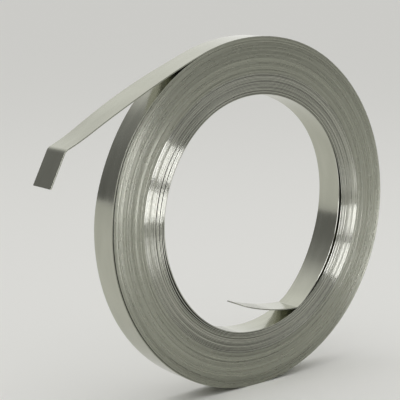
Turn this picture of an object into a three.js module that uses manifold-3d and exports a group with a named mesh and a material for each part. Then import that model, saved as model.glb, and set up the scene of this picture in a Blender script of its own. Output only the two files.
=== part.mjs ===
// A coil of narrow stainless banding, standing on its rim: fifty turns of flat strip wound into a ring.
// The outer end of the strip leaves the rim as a bowed tail with a bent tip. The innermost turn stands
// a little off the bore, and its end is bent inwards as a tab.
//
// Millimetres, +Z up. The coil's axis lies along Y, and the end at -Y is the front. The winding is drawn
// in plan, as seen from the front with +X to the right, and stood up at the end. Angles are in degrees,
// anticlockwise from +X in that view. Followed inwards, the strip winds clockwise.

import * as THREE from "three";
import { mergeVertices } from "three/addons/utils/BufferGeometryUtils.js";
import Module from "manifold-3d";

const wasm = await Module();
wasm.setup();

// ---------------------------------------------------------------- driving dimensions

// The strip: 3/4 in by 0.030 in band.
const STRIP_WIDTH = 19.05;
const STRIP_THICKNESS = 0.76;

// The winding.
const BORE_RADIUS = 78;
const TURNS = 50;
const TURN_GAP = 0.01;

// The tail: where it leaves the rim, its bowed run, the short neck that turns back, its bend and its tip.
const TAIL_ANGLE = 112;
const TAIL_RUN_LENGTH = 96;
const TAIL_BOW = 9;
const TAIL_NECK_LENGTH = 19;
const TAIL_NECK_TURN = 7;
const TAIL_BEND = 39.5;
const TAIL_BEND_RADIUS = 5;
const TAIL_TIP_LENGTH = 22.3;

// The loose innermost turn: where it parts from the turn behind it, and how far it stands off at most.
const LOOSE_ANGLE = 55;
const LOOSE_GAP = 4.8;

// The tab at the inner end: where it starts, its sharp bend, and the gentle curve of the rest of it.
// Before the bend, the loose turn bears on the turn behind it for a few degrees.
const TAB_ANGLE = -61.5;
const TAB_SEAT = 4;
const TAB_BEND = 30.5;
const TAB_BEND_RADIUS = 3;
const TAB_LENGTH = 47;
const TAB_CURVE_RADIUS = 155;

// On both ends, one turn in every few is wound a little short of the end plane.
const SUNK_TURN_INTERVAL = 4;
const SUNK_TURN_DEPTH = 0.25;

// Facets: the flat sides of a whole turn, and the step in degrees round a bend.
const TURN_SIDES = 62;
const BEND_STEP = 4;

// ---------------------------------------------------------------- derived sizes

const TURN_PITCH = STRIP_THICKNESS + TURN_GAP;
const RIM_RADIUS = BORE_RADIUS + TURNS * TURN_PITCH;
const TURN_STEP = 360 / TURN_SIDES;

// The turned body stops a few turns short of the rim and the bore. A ring carries the spiral outline on
// each side, and laps over the body by as many turns again.
const RING_TURNS = 2;
const LAP = RING_TURNS * TURN_PITCH;

const { degToRad, radToDeg } = THREE.MathUtils;

// ---------------------------------------------------------------- curves in plan

function polar(radius, angle) {
  return new THREE.Vector2(radius * Math.cos(degToRad(angle)), radius * Math.sin(degToRad(angle)));
}

// The angles of a stretch of turn: both ends, and between them the whole steps that all turns share. So
// the facets of the turns line up, and a level one is lowest on the rim.
function turnAngles(from, to) {
  const low = Math.min(from, to);
  const high = Math.max(from, to);
  const angles = [low];
  for (let step = Math.floor(low / TURN_STEP) + 1; step * TURN_STEP < high; step += 1) {
    angles.push(step * TURN_STEP);
  }
  angles.push(high);
  return from < to ? angles : angles.reverse();
}

function circle(radius) {
  return turnAngles(0, 360).slice(1).map((angle) => polar(radius, angle));
}

// The two sides of a length of strip that runs on from `start` along `heading`, in stretches that each
// turn evenly, to the left where `turn` is positive. The right side starts at `start`.
function stripSides(start, heading, stretches) {
  const right = [start];
  const left = [];
  let at = start;
  let direction = heading;
  for (const { length, turn } of stretches) {
    const steps = Math.max(1, Math.ceil(Math.abs(turn) / BEND_STEP));
    const stepTurn = turn / steps;
    const halfTurn = degToRad(stepTurn / 2);
    const chord = (length / steps) * (turn === 0 ? 1 : Math.sin(halfTurn) / halfTurn);
    for (let i = 0; i < steps; i += 1) {
      at = at.clone().add(polar(chord, direction + stepTurn / 2));
      direction += stepTurn;
      right.push(at);
      left.push(at.clone().add(polar(STRIP_THICKNESS, direction + 90)));
    }
  }
  return { left, right };
}

// ---------------------------------------------------------------- the winding's three solids

function extrudeByStripWidth(outline, holes) {
  const shape = new THREE.Shape(outline);
  shape.holes = holes.map((hole) => new THREE.Path(hole));
  return new THREE.ExtrudeGeometry(shape, { depth: STRIP_WIDTH, bevelEnabled: false });
}

// The wound body is one turned ring, with the sunk turns stepped into both ends. The turns that a ring
// laps over, and the one next to them, aren't sunk.
function woundBody() {
  const inner = BORE_RADIUS + LAP;
  const outer = RIM_RADIUS - LAP;
  const flushTurns = 2 * RING_TURNS + 1;
  const sunkTurns = [];
  for (let turn = flushTurns; turn < TURNS - flushTurns; turn += SUNK_TURN_INTERVAL) {
    sunkTurns.push(turn);
  }
  const backEnd = sunkTurns.flatMap((turn) => {
    const nearSide = BORE_RADIUS + turn * TURN_PITCH;
    const farSide = nearSide + TURN_PITCH;
    return [
      new THREE.Vector2(nearSide, 0),
      new THREE.Vector2(nearSide, SUNK_TURN_DEPTH),
      new THREE.Vector2(farSide, SUNK_TURN_DEPTH),
      new THREE.Vector2(farSide, 0),
    ];
  });
  const frontEnd = backEnd.map(({ x, y }) => new THREE.Vector2(x, STRIP_WIDTH - y)).reverse();
  const profile = [
    new THREE.Vector2(inner, 0),
    ...backEnd,
    new THREE.Vector2(outer, 0),
    new THREE.Vector2(outer, STRIP_WIDTH),
    ...frontEnd,
    new THREE.Vector2(inner, STRIP_WIDTH),
    new THREE.Vector2(inner, 0),
  ];
  // A lathe turns its profile about Y.
  return new THREE.LatheGeometry(profile, TURN_SIDES).rotateX(Math.PI / 2);
}

// The outermost turns and the tail. The rim is a spiral, which is one turn smaller when it comes round to
// the tail again and runs in beneath it.
function rimRing() {
  const rim = turnAngles(TAIL_ANGLE, TAIL_ANGLE - 360).map((angle) =>
    polar(RIM_RADIUS - (TURN_PITCH * (TAIL_ANGLE - angle)) / 360, angle),
  );
  const tail = stripSides(rim[0], TAIL_ANGLE + 90, [
    { length: TAIL_RUN_LENGTH, turn: TAIL_BOW },
    { length: TAIL_NECK_LENGTH, turn: -TAIL_NECK_TURN },
    { length: TAIL_BEND_RADIUS * degToRad(TAIL_BEND), turn: TAIL_BEND },
    { length: TAIL_TIP_LENGTH, turn: 0 },
  ]);
  const outline = [...tail.right.toReversed(), ...rim.slice(1), ...tail.left];
  return extrudeByStripWidth(outline, [circle(RIM_RADIUS - 2 * LAP)]);
}

// The innermost turns, the loose turn and the tab. The bore is a spiral too, and runs in behind the tab.
function boreRing() {
  const boreAt = (angle) => BORE_RADIUS + (TURN_PITCH * (angle - TAB_ANGLE)) / 360;
  const seatAngle = TAB_ANGLE + TAB_SEAT;

  // The loose turn leaves its seat at once, stands off most a third of the way round to where it parts
  // from the turn behind it, and closes on that turn gradually.
  const standOffAt = (angle) => {
    const way = (angle - seatAngle) / (LOOSE_ANGLE - seatAngle);
    return LOOSE_GAP * 6.75 * way * (1 - way) ** 2;
  };

  const bore = turnAngles(LOOSE_ANGLE, TAB_ANGLE + 360).map((angle) => polar(boreAt(angle), angle));
  const looseAngles = turnAngles(seatAngle, LOOSE_ANGLE);
  const looseInside = looseAngles.map((angle) => polar(boreAt(angle) - standOffAt(angle), angle));
  const tab = stripSides(polar(BORE_RADIUS, TAB_ANGLE), TAB_ANGLE - 90, [
    { length: TAB_BEND_RADIUS * degToRad(TAB_BEND), turn: -TAB_BEND },
    { length: TAB_LENGTH, turn: -radToDeg(TAB_LENGTH / TAB_CURVE_RADIUS) },
  ]);
  const boreOutline = [
    ...bore,
    ...tab.left,
    ...tab.right.toReversed(),
    ...looseInside.slice(0, -1),
  ];

  // The slit behind the loose turn closes at both of its ends.
  const looseOutside = looseAngles.map((angle) =>
    polar(boreAt(angle) - standOffAt(angle) + TURN_PITCH, angle),
  );
  const nextTurnInside = looseAngles.map((angle) => polar(boreAt(angle) + TURN_PITCH, angle));
  const slitOutline = [...looseOutside, ...nextTurnInside.slice(1, -1).reverse()];

  return extrudeByStripWidth(circle(BORE_RADIUS + 2 * LAP), [boreOutline, slitOutline]);
}

// ---------------------------------------------------------------- joining

// A closed geometry as a manifold-3d solid.
function solidOf(geometry) {
  geometry.deleteAttribute("normal");
  geometry.deleteAttribute("uv");
  const merged = mergeVertices(geometry);
  return new wasm.Manifold(
    new wasm.Mesh({
      numProp: 3,
      vertProperties: merged.attributes.position.array,
      triVerts: new Uint32Array(merged.index.array),
    }),
  );
}

function geometryOf(solid) {
  const { vertProperties, triVerts } = solid.getMesh();
  const geometry = new THREE.BufferGeometry();
  geometry.setAttribute("position", new THREE.BufferAttribute(vertProperties, 3));
  geometry.setIndex(new THREE.BufferAttribute(triVerts, 1));
  return geometry;
}

// The strip is one piece, so its solids are joined into one. It is stood up, with the origin on the floor
// under the middle of its box.
function bandingCoil() {
  const [body, rim, bore] = [woundBody(), rimRing(), boreRing()].map(solidOf);
  const geometry = geometryOf(body.add(rim).add(bore)).rotateX(Math.PI / 2);
  geometry.computeBoundingBox();
  const { min } = geometry.boundingBox;
  const middle = geometry.boundingBox.getCenter(new THREE.Vector3());
  geometry.translate(-middle.x, -middle.y, -min.z);
  geometry.computeVertexNormals();

  const steel = new THREE.MeshStandardMaterial({ color: 0x8b8d84, roughness: 0.3, metalness: 1 });
  const coil = new THREE.Mesh(geometry, steel);
  coil.name = "banding_coil";
  return coil;
}

const part = new THREE.Group();
part.add(bandingCoil());

export default part;
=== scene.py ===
"""A coil of narrow stainless banding, standing on its rim: one long strip wound into a ring.

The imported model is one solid. Here the strip itself is wound, turn by turn, with its rounded edges, its
small side-steps from turn to turn, the turns that sag or stand off, the bent tail and the tab. Metres, +Z
up. The coil's axis lies along Y, and its front end faces -Y. Angles are in degrees in the plane of the
coil, anticlockwise from +X as seen from the front. Followed outwards, the strip winds anticlockwise.
"""

import math

import bpy
import numpy as np
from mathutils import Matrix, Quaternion, Vector


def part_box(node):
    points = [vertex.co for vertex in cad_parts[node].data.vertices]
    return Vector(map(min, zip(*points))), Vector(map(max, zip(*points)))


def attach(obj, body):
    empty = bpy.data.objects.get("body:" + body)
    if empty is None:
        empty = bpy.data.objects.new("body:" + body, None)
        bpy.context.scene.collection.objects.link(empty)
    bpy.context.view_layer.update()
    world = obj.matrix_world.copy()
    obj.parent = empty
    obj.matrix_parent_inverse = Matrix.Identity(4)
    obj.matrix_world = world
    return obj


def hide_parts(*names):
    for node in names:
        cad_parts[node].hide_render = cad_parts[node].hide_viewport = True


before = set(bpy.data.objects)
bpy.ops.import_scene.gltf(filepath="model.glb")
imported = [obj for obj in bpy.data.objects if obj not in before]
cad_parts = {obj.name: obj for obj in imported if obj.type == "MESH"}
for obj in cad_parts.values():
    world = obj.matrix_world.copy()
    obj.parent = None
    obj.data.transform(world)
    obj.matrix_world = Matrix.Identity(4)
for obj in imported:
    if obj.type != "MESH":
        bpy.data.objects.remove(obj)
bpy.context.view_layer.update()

MM = 0.001

# ---------------------------------------------------------------- the coil's sizes

# The strip's thickness leaves a thin gap between the turns. The bore is measured at the tab, and the rim at
# the tail.
COIL_NODE = "banding_coil"
STRIP_THICKNESS = 0.745 * MM
BORE_RADIUS = 78 * MM
RIM_RADIUS = 116.45 * MM

# The winding, from where the tab begins out to where the tail leaves.
TAB_ANGLE = -61.5
TAIL_ANGLE = 112
WHOLE_TURNS = 48
WOUND_DEGREES = 360 * WHOLE_TURNS + TAIL_ANGLE - TAB_ANGLE
PITCH = (RIM_RADIUS - STRIP_THICKNESS - BORE_RADIUS) / (WOUND_DEGREES / 360)

# The axis of the coil, from the box of its node. The rim is a spiral, so it is smaller on the right, where
# it has yet to run to the tail, and there it stays a little inside the box. The axis is as high as stands the
# coil on the floor.
BOX_CLEARANCE = 0.05 * MM
node_low, node_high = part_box(COIL_NODE)
AXIS_X = node_high[0] - (RIM_RADIUS - PITCH * TAIL_ANGLE / 360) - BOX_CLEARANCE
AXIS_Z = 115.92 * MM
FRONT_MIDDLE = Vector((AXIS_X, node_low[1], AXIS_Z))

# The strip's own width leaves room for its side-steps inside the two end planes of the coil.
SIDE_STEP = 0.1 * MM
STRIP_WIDTH = (node_high[1] - node_low[1]) - 2 * SIDE_STEP

# The edges of the inner turns are rolled round. Those of the turns outside them are slit, nearly flat. The
# flatness of an edge goes from 0 to 1, and each kind has its middle value and its spread.
ROUND_EDGE_TURNS = 18.3
ROUND_FLATNESS = 0.2
ROUND_SPREAD = 1.7
SLIT_FLATNESS = 0.95
SLIT_SPREAD = 1.2

# An edge's section has a crown between two corners. The corners are rounded less where it is flatter, their
# tilt in degrees is smaller, and the crown takes more of the thickness.
EDGE_ROUNDING = 0.24 * MM
FLAT_ROUNDING_CUT = 0.6
ROUND_CORNER_TILT = 48
FLAT_CORNER_TILT = 10
FLAT_CROWN_SHARE = 0.92

# The front edges lean over towards the rim, or where negative towards the bore, and the back edges the other
# way: the middle value and the spread, in degrees.
EDGE_LEAN = -4
EDGE_TILT = 8

# The random waves along the strip: their seeds and their reaches in degrees of winding. The side-steps are
# waves of two reaches, each with its share. A wave is smoothed over some reaches each way.
SMOOTHED_REACHES = 3
SIDE_STEP_SEED = 11
SIDE_STEP_WAVES = ((0.6, 180), (0.4, 60))
EDGE_SEED = 5
FLATNESS_REACHES = (135, 60)
EDGE_TILT_REACH = 90

# The tail: its bowed run, the short neck that turns back, its bend and its tip.
TAIL_RUN = 96 * MM
TAIL_BOW = 9
TAIL_NECK = 19 * MM
TAIL_NECK_TURN = 7
TAIL_BEND = 39.5
TAIL_BEND_RADIUS = 5 * MM
TAIL_TIP = 21.9 * MM

# The tab: its sharp bend, and the gentle curve of the rest of it.
TAB_BEND = 30.5
TAB_BEND_RADIUS = 3 * MM
TAB_LENGTH = 47 * MM
TAB_CURVE_RADIUS = 155 * MM

# Each sag and each lean lies between two angles. The fades and the fullness are exponents: by a fade it grows
# weaker from turn to turn, and a fullness below 1 broadens its hump.

# On the right of the bore the innermost turns sag inwards together, and the very first one stands off them.
SAG_ANGLES = (-62, 55)
SAG = 2.1 * MM
SAG_TURNS = 14
SAG_FADE = 1.5
LOOSE_ANGLES = (-57.5, 45)
LOOSE_GAP = 2.7 * MM

# On the left they sag as well, in groups with a thin gap between them. The shares are those of the first
# turn, the second one and so on, and the turns beyond don't sag. At the lower left the three first ones stand
# apart.
LEFT_SAG_ANGLES = (108, 222)
LEFT_SAG = 1.5 * MM
LEFT_SAG_SHARES = (1, 0.98, 0.96, 0.94, 0.6, 0.57, 0.54, 0.18, 0.14, 0.1, 0.05)
LEFT_GAP_ANGLES = (163, 256)
LEFT_GAPS = (1.8 * MM, 0.95 * MM, 0.2 * MM)

# The outermost turn stands off a little on the left: its angles run on from where that turn begins.
OUTER_GAP_ANGLES = (12, 138)
OUTER_GAP = 0.6 * MM
OUTER_GAP_FULLNESS = 0.5

# The strip leans, as slopes across its width, positive where its back edge is further from the axis. The
# tail and the loose turn are twisted, and the outer turns lean on the left.
TAIL_LEAN = 0.07
LOOSE_LEAN = -0.08
LOOSE_LEAN_ANGLES = (-58, 10)
OUTER_LEANS = ((-0.1, (130, 180)), (0.04, (186, 240)))
OUTER_LEAN_FADE = 2

# The outer turns sag a little at the top, and the coil's weight presses it flat where it stands.
TOP_SAG_ANGLES = (58, 128)
TOP_SAG = 0.8 * MM
TOP_SAG_FADE = 1.5
FLAT_ANGLES = (250, 290)
FLAT = 0.12 * MM

# The steps along the strip: in degrees round a turn and round a bend, and the longest one elsewhere.
TURN_STEP = 3
BEND_STEP = 3
LONGEST_STEP = 6 * MM


# ---------------------------------------------------------------- the path of the strip

def polar(radius, angle):
    return np.stack([radius * np.cos(np.radians(angle)), radius * np.sin(np.radians(angle))], axis=-1)


def run_on(start, heading, stretches):
    """Points on from start along heading, in stretches of (length, turn) that each turn evenly."""
    points = []
    at = np.array(start)
    direction = heading
    for length, turn in stretches:
        steps = max(1, math.ceil(max(abs(turn) / BEND_STEP, length / LONGEST_STEP)))
        for _ in range(steps):
            direction += turn / steps / 2
            at = at + polar(length / steps, direction)
            direction += turn / steps / 2
            points.append(at)
    return np.array(points)


def bump(angle, low, high):
    """A smooth hump, 1 in the middle of the stretch from low to high and 0 outside it."""
    share = np.clip((angle - low) / (high - low), 0, 1)
    return np.sin(np.pi * share) ** 2


def skewed_bump(angle, low, high):
    """A hump that rises at once from low, is 1 a third of the way to high, and dies away gradually."""
    share = np.clip((angle - low) / (high - low), 0, 1)
    return 27 / 4 * share * (1 - share) ** 2


def turns_wound(angle):
    """How many turns the strip has made since the tab, as far as that angle of winding."""
    return (angle - TAB_ANGLE) / 360


def wound_radii(angle):
    """The radius of the strip's middle along the winding, with the turns that sag and stand off."""
    turn = turns_wound(angle)
    near_bore = np.clip(1 - turn / SAG_TURNS, 0, 1)
    near_rim = np.clip(turn / WHOLE_TURNS, 0, 1)
    # The place round the coil, from -90 to 270 degrees.
    place = np.mod(angle + 90, 360) - 90
    radius = BORE_RADIUS + PITCH * turn + STRIP_THICKNESS / 2
    radius = radius - SAG * bump(place, *SAG_ANGLES) * near_bore ** SAG_FADE
    radius = radius - LOOSE_GAP * skewed_bump(angle, *LOOSE_ANGLES)
    shares = np.array(LEFT_SAG_SHARES + (0,))[np.clip(turn.astype(int), 0, len(LEFT_SAG_SHARES))]
    radius = radius - LEFT_SAG * bump(place, *LEFT_SAG_ANGLES) * shares
    for whole, gap in enumerate(LEFT_GAPS):
        radius = radius - gap * bump(angle - 360 * whole, *LEFT_GAP_ANGLES)
    last_turn = TAB_ANGLE + WOUND_DEGREES - 360
    radius = radius + OUTER_GAP * bump(angle - last_turn, *OUTER_GAP_ANGLES) ** OUTER_GAP_FULLNESS
    radius = radius - TOP_SAG * bump(place, *TOP_SAG_ANGLES) * near_rim ** TOP_SAG_FADE
    return radius - FLAT * bump(place % 360, *FLAT_ANGLES)


def strip_path():
    """The strip's middle line from the end of the tab to the end of the tail, and its angle of winding."""
    last_angle = TAB_ANGLE + WOUND_DEGREES
    angle = np.append(np.arange(TAB_ANGLE, last_angle, TURN_STEP), last_angle)
    wound = polar(wound_radii(angle), angle)
    tab = run_on(wound[0], TAB_ANGLE - 90, [
        (TAB_BEND_RADIUS * math.radians(TAB_BEND), -TAB_BEND),
        (TAB_LENGTH, -math.degrees(TAB_LENGTH / TAB_CURVE_RADIUS)),
    ])[::-1]
    tail = run_on(wound[-1], TAIL_ANGLE + 90, [
        (TAIL_RUN, TAIL_BOW),
        (TAIL_NECK, -TAIL_NECK_TURN),
        (TAIL_BEND_RADIUS * math.radians(TAIL_BEND), TAIL_BEND),
        (TAIL_TIP, 0),
    ])
    winding = np.concatenate([np.full(len(tab), angle[0]), angle, np.full(len(tail), angle[-1])])
    return np.concatenate([tab, wound, tail]), winding


# ---------------------------------------------------------------- what differs along the strip

def smooth_noise(count, reach, rng):
    """A random value for each of count rows. The values change over about reach degrees, and lie between -1
    and 1."""
    rows = round(reach / TURN_STEP)
    margin = SMOOTHED_REACHES * rows
    kernel = np.exp(-0.5 * (np.arange(-margin, margin + 1) / rows) ** 2)
    values = np.convolve(rng.normal(size=count + 2 * margin), kernel, mode="valid")
    return values / np.abs(values).max()


def side_steps(count):
    """How far each row of the strip lies from the middle plane of the coil."""
    rng = np.random.default_rng(SIDE_STEP_SEED)
    steps = sum(share * smooth_noise(count, reach, rng) for share, reach in SIDE_STEP_WAVES)
    return SIDE_STEP * steps / np.abs(steps).max()


def edge_shapes(turn):
    """How flat the edges are, from 0 to 1, and how far they lean over towards the rim or the bore, in
    degrees. Both differ from turn to turn."""
    rng = np.random.default_rng(EDGE_SEED)
    first_wave, second_wave = (smooth_noise(len(turn), reach, rng) for reach in FLATNESS_REACHES)
    tilt = smooth_noise(len(turn), EDGE_TILT_REACH, rng)
    slit = turn > ROUND_EDGE_TURNS
    flatness = np.where(slit, SLIT_FLATNESS, ROUND_FLATNESS)
    spread = np.where(slit, SLIT_SPREAD, ROUND_SPREAD)
    flatness = np.clip(flatness + spread * (first_wave + second_wave) / 2, 0, 1)
    return flatness, EDGE_LEAN + EDGE_TILT * tilt


def strip_lean(path, winding):
    """How far the strip leans in each row, as a slope across its width."""
    lean = LOOSE_LEAN * bump(winding, *LOOSE_LEAN_ANGLES)
    outer_share = np.clip((winding - TAB_ANGLE) / WOUND_DEGREES, 0, 1) ** OUTER_LEAN_FADE
    for slope, angles in OUTER_LEANS:
        lean = lean + slope * bump(np.mod(winding, 360), *angles) * outer_share
    on_tail = winding >= winding[-1]
    tail_way = np.linalg.norm(path - path[np.argmax(on_tail)], axis=1)
    return np.where(on_tail, TAIL_LEAN * bump(tail_way, 0, TAIL_RUN + TAIL_NECK), lean)


# ---------------------------------------------------------------- the strip's mesh

# The strip's materials are numbered, and these are the attributes that they read.
FLAT_MATERIAL = 0
EDGE_MATERIAL = 1
LENGTH_ATTRIBUTE = "strip_length"
ACROSS_ATTRIBUTE = "strip_across"
TURN_ATTRIBUTE = "strip_turn"


def strip_sections(flatness, edge_tilt):
    """The strip's cross-section in each row, thickness by width: its points and normals, which go round from
    the inner side by the front edge. The edges are round where flatness is 0, and nearly flat where it is 1,
    and lean over by the edge tilt in degrees."""
    half_thickness = STRIP_THICKNESS / 2
    half_width = STRIP_WIDTH / 2
    rounding = EDGE_ROUNDING * (1 - FLAT_ROUNDING_CUT * flatness)
    corner_tilt = ROUND_CORNER_TILT + (FLAT_CORNER_TILT - ROUND_CORNER_TILT) * flatness
    crown = math.sin(math.radians(ROUND_CORNER_TILT)) * (1 - flatness) + FLAT_CROWN_SHARE * flatness
    crown_height = np.cos(np.radians(corner_tilt))
    all_rows = np.ones(len(flatness))
    corners = (
        (-all_rows, -90 * all_rows, 0),
        (-crown, edge_tilt - corner_tilt, crown_height),
        (crown, edge_tilt + corner_tilt, crown_height),
        (all_rows, 90 * all_rows, 0),
    )
    points = []
    normals = []
    for side in (-1, 1):
        for share, tilt, height in corners:
            across = half_width - rounding + height * rounding
            radians = np.radians(tilt)
            points.append(np.stack([-side * share * half_thickness, side * across], axis=-1))
            normals.append(np.stack([-side * np.sin(radians), side * np.cos(radians)], axis=-1))
    return np.stack(points, axis=1), np.stack(normals, axis=1)


def strip_surface(path, winding):
    """The strip's vertices and their normals, in rows from the tab to the tail, and how far across the strip
    from its middle each vertex lies."""
    along = np.gradient(path, axis=0)
    along /= np.linalg.norm(along, axis=1, keepdims=True)
    outward = np.stack([along[:, 1], -along[:, 0]], axis=1)[:, None, :]
    lean = strip_lean(path, winding)[:, None]
    side = side_steps(len(path))[:, None]
    points, normals = strip_sections(*edge_shapes(turns_wound(winding)))

    across = points[..., 1]
    plan = path[:, None, :] + outward * (points[..., 0] + lean * across)[..., None]
    vertices = np.stack([AXIS_X + plan[..., 0], side + across, AXIS_Z + plan[..., 1]], axis=-1)
    turned = outward * (normals[..., 0] + lean * normals[..., 1])[..., None]
    normal_across = normals[..., 1] - lean * normals[..., 0]
    vertex_normals = np.stack([turned[..., 0], normal_across, turned[..., 1]], axis=-1)
    return vertices, vertex_normals, across


def strip_faces(rows, columns):
    """The strip's faces, which are quads from row to row and its two cut ends, and their materials."""
    row = np.arange(rows - 1)[:, None] * columns
    column = np.arange(columns)[None, :]
    following = (column + 1) % columns
    quads = np.stack([row + column, row + following, row + columns + following, row + columns + column],
                     axis=-1).reshape(-1, 4)
    ends = [list(range(columns))[::-1], [(rows - 1) * columns + i for i in range(columns)]]

    # Half the columns make one edge. The last quad of each half runs over to the other edge, on a flat.
    half = columns // 2
    on_flat = np.arange(columns) % half == half - 1
    materials = np.tile(np.where(on_flat, FLAT_MATERIAL, EDGE_MATERIAL), rows - 1)
    return quads.tolist() + ends, np.append(materials, [EDGE_MATERIAL] * len(ends))


def strip_mesh():
    path, winding = strip_path()
    vertices, normals, across = strip_surface(path, winding)
    rows, columns = across.shape
    faces, materials = strip_faces(rows, columns)
    mesh = bpy.data.meshes.new("wound_strip")
    mesh.from_pydata(vertices.reshape(-1, 3).tolist(), [], faces)
    mesh.validate()
    mesh.polygons.foreach_set("material_index", materials.astype(np.int32))
    mesh.polygons.foreach_set("use_smooth", np.ones(len(faces), dtype=bool))
    mesh.normals_split_custom_set_from_vertices(normals.reshape(-1, 3).tolist())

    length = np.concatenate([[0], np.cumsum(np.linalg.norm(np.diff(path, axis=0), axis=1))])
    for name, values in (
        (LENGTH_ATTRIBUTE, np.repeat(length, columns)),
        (ACROSS_ATTRIBUTE, across.reshape(-1)),
        (TURN_ATTRIBUTE, np.repeat(turns_wound(winding), columns)),
    ):
        attribute = mesh.attributes.new(name, "FLOAT", "POINT")
        attribute.data.foreach_set("value", values.astype(np.float32))
    mesh.update()
    return mesh


# ---------------------------------------------------------------- materials

# Noise lies mostly between these values.
NOISE_RANGE = (0.3, 0.7)

# The flats: their two tones, and the fine lines and the smears along them. A noise has its rates of change a
# metre, along the strip and across it, a slice, which gives it its pattern, and as its detail the number of
# its octaves and their roughness.
FLAT_TONES = ((0.48, 0.485, 0.415, 1), (0.54, 0.545, 0.47, 1))
FLAT_ANISOTROPY = 0.3
LINE_RATES = (6.0, 2600.0)
LINE_SLICE = 0.0
LINE_DETAIL = (4.0, 0.6)
LINE_ROUGHNESS = (0.10, 0.17)
LINE_DEPTH = 0.02 * MM
LINE_STRENGTH = 0.12
SMEAR_RATES = (30.0, 120.0)
SMEAR_SLICE = 3.0
SMEAR_DETAIL = (3.0, 0.5)
SMEAR_RANGE = (0.35, 0.75)
SMEAR_ROUGHNESS = (0.0, 0.05)

# The edges: the two tones of the round ones and of the slit ones, the noise that changes them from one to the
# other, and their nicks. Here a noise's rates are a metre along the strip, and a turn.
ROUND_TONES = ((0.365, 0.37, 0.32, 1), (0.475, 0.481, 0.42, 1))
SLIT_TONES = ((0.288, 0.294, 0.244, 1), (0.372, 0.38, 0.316, 1))
EDGE_CHANGE_TURNS = 0.1
TONE_RATES = (4.0, 1.7)
TONE_SLICE = 0.0
TONE_DETAIL = (2.0, 0.5)
TONE_RANGE = (0.36, 0.64)
NICK_RATES = (45.0, 2.0)
NICK_SLICE = 5.0
NICK_DETAIL = (1.0, 0.5)
NICK_ROUGHNESS = (0.08, 0.15)
NICK_DEPTH = 0.014 * MM
NICK_STRENGTH = 0.4
SLIT_ADDED_ROUGHNESS = 0.17
SLIT_ADDED_STRENGTH = 0.6


class Nodes:
    """A node tree, and short calls that add a node and link it."""

    def __init__(self, tree):
        self.tree = tree

    def fill(self, node, inputs):
        for socket, value in inputs.items():
            if isinstance(value, bpy.types.NodeSocket):
                self.tree.links.new(value, node.inputs[socket])
            else:
                node.inputs[socket].default_value = value

    def add(self, kind, inputs, **settings):
        node = self.tree.nodes.new(kind)
        for name, value in settings.items():
            setattr(node, name, value)
        self.fill(node, inputs)
        return node

    def math(self, operation, first, second):
        return self.add("ShaderNodeMath", {0: first, 1: second}, operation=operation).outputs[0]

    def attribute(self, name):
        return self.add("ShaderNodeAttribute", {}, attribute_name=name).outputs["Fac"]

    def noise(self, first, second, rates, noise_slice, detail):
        """Noise over two values, each at its own rate."""
        vector = self.add("ShaderNodeCombineXYZ", {
            "X": self.math("MULTIPLY", first, rates[0]),
            "Y": self.math("MULTIPLY", second, rates[1]),
            "Z": noise_slice,
        }).outputs[0]
        octaves, roughness = detail
        return self.add("ShaderNodeTexNoise", {
            "Vector": vector, "Scale": 1.0, "Detail": octaves, "Roughness": roughness,
        }).outputs["Fac"]

    def remap(self, value, old_range, new_range=(0.0, 1.0)):
        return self.add("ShaderNodeMapRange", {
            "Value": value,
            "From Min": old_range[0], "From Max": old_range[1],
            "To Min": new_range[0], "To Max": new_range[1],
        }).outputs[0]

    def mix(self, factor, first, second):
        # In a Mix node the colours are inputs 6 and 7, and their mixture is output 2.
        return self.add("ShaderNodeMix", {0: factor, 6: first, 7: second}, data_type="RGBA").outputs[2]

    def relief(self, height, strength, depth):
        return self.add("ShaderNodeBump", {
            "Strength": strength, "Distance": depth, "Height": height,
        }).outputs[0]


def new_material(name):
    material = bpy.data.materials.new(name)
    material.use_nodes = True
    return material, Nodes(material.node_tree), material.node_tree.nodes["Principled BSDF"]


def strip_flat_material():
    """The flats of the strip: bright rolled steel, nearly a mirror, with fine lines along its length."""
    material, nodes, shader = new_material("rolled_flat")
    length = nodes.attribute(LENGTH_ATTRIBUTE)
    across = nodes.attribute(ACROSS_ATTRIBUTE)
    lines = nodes.noise(length, across, LINE_RATES, LINE_SLICE, LINE_DETAIL)
    smears = nodes.noise(length, across, SMEAR_RATES, SMEAR_SLICE, SMEAR_DETAIL)
    line_roughness = nodes.remap(lines, NOISE_RANGE, LINE_ROUGHNESS)
    smear_roughness = nodes.remap(smears, SMEAR_RANGE, SMEAR_ROUGHNESS)
    nodes.fill(shader, {
        "Metallic": 1.0,
        "Anisotropic": FLAT_ANISOTROPY,
        "Base Color": nodes.mix(nodes.remap(smears, NOISE_RANGE), *FLAT_TONES),
        "Roughness": nodes.math("ADD", line_roughness, smear_roughness),
        "Normal": nodes.relief(lines, LINE_STRENGTH, LINE_DEPTH),
    })
    return material


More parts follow.
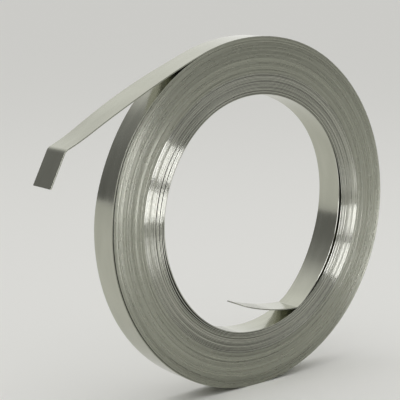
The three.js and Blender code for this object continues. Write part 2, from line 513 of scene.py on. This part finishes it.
def strip_edge_material():
    """The edges of the strip, which show as the turns: bright where they are rolled round, duller where
    they are slit, and a little different from turn to turn."""
    material, nodes, shader = new_material("strip_edge")
    length = nodes.attribute(LENGTH_ATTRIBUTE)
    turn = nodes.attribute(TURN_ATTRIBUTE)
    slit = nodes.remap(turn, (ROUND_EDGE_TURNS, ROUND_EDGE_TURNS + EDGE_CHANGE_TURNS))
    tone = nodes.remap(nodes.noise(length, turn, TONE_RATES, TONE_SLICE, TONE_DETAIL), TONE_RANGE)
    nicks = nodes.noise(length, turn, NICK_RATES, NICK_SLICE, NICK_DETAIL)
    nick_roughness = nodes.remap(nicks, NOISE_RANGE, NICK_ROUGHNESS)
    slit_roughness = nodes.math("MULTIPLY", slit, SLIT_ADDED_ROUGHNESS)
    nick_strength = nodes.math("ADD", nodes.math("MULTIPLY", slit, SLIT_ADDED_STRENGTH), NICK_STRENGTH)
    nodes.fill(shader, {
        "Metallic": 1.0,
        "Base Color": nodes.mix(slit, nodes.mix(tone, *ROUND_TONES), nodes.mix(tone, *SLIT_TONES)),
        "Roughness": nodes.math("ADD", slit_roughness, nick_roughness),
        "Normal": nodes.relief(nicks, nick_strength, NICK_DEPTH),
    })
    return material


# ---------------------------------------------------------------- the coil

def make_coil():
    mesh = strip_mesh()
    mesh.materials.append(strip_flat_material())
    mesh.materials.append(strip_edge_material())
    coil = bpy.data.objects.new("wound_strip", mesh)
    bpy.context.collection.objects.link(coil)
    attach(coil, "root")
    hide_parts(COIL_NODE)


# ---------------------------------------------------------------- camera and floor

# Where the camera stands from the middle of the coil's front end, and how it is turned: to the right from +Y,
# and down. Its focal length is in pixels of the frame.
CAMERA_OFFSET = (-534.16 * MM, -598.62 * MM, 157.38 * MM)
CAMERA_YAW = 39.03
CAMERA_PITCH = 10.45
CAMERA_CLIP = (0.01, 200)
SENSOR = 36.0
FOCAL_PIXELS = 1250
FRAME_PIXELS = 400

# The floor is so wide, in metres, that its edge lies close to the horizon.
FLOOR_RADIUS = 80
FLOOR_SIDES = 96
FLOOR_COLOR = (0.86, 0.857, 0.835, 1)
FLOOR_ROUGHNESS = 0.9


def make_camera():
    camera = bpy.data.objects.new("camera", bpy.data.cameras.new("camera"))
    camera.data.sensor_width = SENSOR
    camera.data.lens = SENSOR * FOCAL_PIXELS / FRAME_PIXELS
    camera.data.clip_start, camera.data.clip_end = CAMERA_CLIP
    camera.location = FRONT_MIDDLE + Vector(CAMERA_OFFSET)
    camera.rotation_euler = (math.radians(90 - CAMERA_PITCH), 0, math.radians(-CAMERA_YAW))
    bpy.context.collection.objects.link(camera)
    bpy.context.scene.camera = camera


def make_floor():
    bpy.ops.mesh.primitive_circle_add(vertices=FLOOR_SIDES, radius=FLOOR_RADIUS, fill_type="NGON",
                                      location=(0, 0, 0))
    floor = bpy.context.object
    floor.name = "floor"
    material, nodes, shader = new_material("pale_floor")
    nodes.fill(shader, {
        "Base Color": FLOOR_COLOR,
        "Roughness": FLOOR_ROUGHNESS,
        "Specular IOR Level": 0.0,
    })
    floor.data.materials.append(material)


# ---------------------------------------------------------------- lamps

# The colour of the front lamps, a little bluish.
FRONT_COLOR = (0.94, 0.928, 1.0)

# Two banks of softboxes stand round the front left. Seen from the coil, each fills the wedge between two
# lines that fan out to the left from the point where the face mirrors the camera. The point is given by the
# X and Z of its direction, and the lines by their slopes in degrees. An azimuth is an angle from -Y towards
# +X, and the panels follow one another to the left.
MIRROR_POINT = (0.62, -0.181)
FIRST_AZIMUTH = -1
BANK_STEP = 18
BANK_PANELS = 4

# The rounds in which the crossing of a line and an azimuth is found.
CROSSING_ROUNDS = 20

# The banks: the slopes of their two lines, their distance in metres and their radiance.
BANKS = {
    "lower_bank": ((3, 16.3), 0.78, 5.3),
    "upper_bank": ((20, 36.5), 1.2, 5.5),
}

# A low panel lies in front, facing up, and fills in the round edges beyond the bands of light. A large
# softbox hangs overhead. The sizes are in metres and the powers in watts.
FILL_PANEL_PLACE = (-0.10, -0.325, 0.004)
FILL_PANEL_AIM = (-0.10, -0.325, 1)
FILL_PANEL_SIZE = (0.2, 0.25)
FILL_PANEL_POWER = 0.38
TOP_SOFTBOX_PLACE = (0.1, -0.1, 1.4)
TOP_SOFTBOX_AIM = (0, 0, 0.1)
TOP_SOFTBOX_SIZE = (1.2, 1.2)
TOP_SOFTBOX_POWER = 3


def make_softbox(name, place, aim, size, power, roll=0):
    """A softbox at a place, facing its aim and rolled by an angle in radians. The camera doesn't see it."""
    light = bpy.data.lights.new(name, "AREA")
    light.shape = "RECTANGLE"
    light.size, light.size_y = size
    light.energy = power
    lamp = bpy.data.objects.new(name, light)
    lamp.location = place
    facing = (Vector(aim) - Vector(place)).to_track_quat("-Z", "Y")
    lamp.rotation_euler = (facing @ Quaternion((0, 0, 1), roll)).to_euler()
    lamp.visible_camera = False
    bpy.context.collection.objects.link(lamp)
    return lamp


def make_front_softbox(name, place, aim, size, power, roll=0):
    """A softbox that lights the steel and leaves the floor as it is."""
    lamp = make_softbox(name, place, aim, size, power, roll)
    lamp.data.color = FRONT_COLOR
    lamp.visible_diffuse = False


def elevation_on_line(azimuth, slope):
    """The elevation, as an angle in radians, where the line of that slope crosses the azimuth."""
    rise = MIRROR_POINT[1]
    for _ in range(CROSSING_ROUNDS):
        run = MIRROR_POINT[0] - math.sin(math.radians(azimuth)) * math.sqrt(1 - rise ** 2)
        rise = MIRROR_POINT[1] + run * math.tan(math.radians(slope))
    return math.asin(rise)


def make_bank(name, slopes, distance, radiance):
    mean_slope = sum(slopes) / 2
    half_step = BANK_STEP / 2
    for panel in range(BANK_PANELS):
        azimuth = FIRST_AZIMUTH - BANK_STEP * panel
        low, high = (elevation_on_line(azimuth, slope) for slope in slopes)
        elevation = (low + high) / 2
        toward = math.radians(azimuth)
        place = FRONT_MIDDLE + distance * Vector((
            math.cos(elevation) * math.sin(toward),
            -math.cos(elevation) * math.cos(toward),
            math.sin(elevation),
        ))
        width = 2 * distance * math.cos(elevation) * math.tan(math.radians(half_step))
        climb = (elevation_on_line(azimuth - half_step, mean_slope)
                 - elevation_on_line(azimuth + half_step, mean_slope))
        roll = math.atan2(distance * climb, width)
        size = (width / math.cos(roll), distance * (high - low) * math.cos(roll))
        power = math.pi * radiance * size[0] * size[1]
        make_front_softbox(f"{name}_{-azimuth}", place, FRONT_MIDDLE, size, power, -roll)


# ---------------------------------------------------------------- the studio round it

# How bright the studio is by height, from the horizon to overhead: a pale strip over the floor's far edge,
# dim walls and a bright ceiling. Blue is a little weaker. Towards the front it all falls to a share of that,
# over a range of the direction's Y.
WORLD_LEVELS = ((0.0, 0.6), (0.015, 0.6), (0.025, 0.16), (0.3, 0.2), (0.5, 0.3), (0.72, 1.0), (1.0, 1.0))
WORLD_BLUE = 0.985
FRONT_SHARE = 0.72
FRONT_RANGE = (-0.5, 0.1)

# Its bright wall, behind to the right, and the cosines of the angles from it at which it begins and is full.
BRIGHT_WALL_DIRECTION = (0.62, 0.764, 0.35)
BRIGHT_WALL_RANGE = (0.7, 0.93)
BRIGHT_WALL_LEVEL = 0.95


def studio_color(level):
    return (level, level, level * WORLD_BLUE, 1)


def make_world():
    """A plain studio: bright overhead and behind to the right, dim towards the other walls."""
    world = bpy.data.worlds.new("studio")
    world.use_nodes = True
    bpy.context.scene.world = world
    nodes = Nodes(world.node_tree)
    direction = nodes.add("ShaderNodeTexCoord", {}).outputs["Generated"]
    axes = nodes.add("ShaderNodeSeparateXYZ", {"Vector": direction})
    ramp = nodes.add("ShaderNodeValToRGB", {"Fac": axes.outputs["Z"]})
    elements = ramp.color_ramp.elements
    for height, _ in WORLD_LEVELS[1:-1]:
        elements.new(height)
    for element, (_, level) in zip(elements, WORLD_LEVELS):
        element.color = studio_color(level)
    bright_wall = Vector(BRIGHT_WALL_DIRECTION).normalized()
    toward_wall = nodes.add("ShaderNodeVectorMath", {0: direction, 1: bright_wall}, operation="DOT_PRODUCT")
    wall_share = nodes.remap(toward_wall.outputs["Value"], BRIGHT_WALL_RANGE)
    nodes.fill(world.node_tree.nodes["Background"], {
        "Color": nodes.mix(wall_share, ramp.outputs["Color"], studio_color(BRIGHT_WALL_LEVEL)),
        "Strength": nodes.remap(axes.outputs["Y"], FRONT_RANGE, (FRONT_SHARE, 1.0)),
    })


make_coil()
make_camera()
make_floor()
for bank, (slopes, distance, radiance) in BANKS.items():
    make_bank(bank, slopes, distance, radiance)
make_front_softbox("front_fill_panel", FILL_PANEL_PLACE, FILL_PANEL_AIM, FILL_PANEL_SIZE, FILL_PANEL_POWER)
make_softbox("top_softbox", TOP_SOFTBOX_PLACE, TOP_SOFTBOX_AIM, TOP_SOFTBOX_SIZE, TOP_SOFTBOX_POWER)
make_world()

scene = bpy.context.scene
scene.view_settings.view_transform = "Standard"
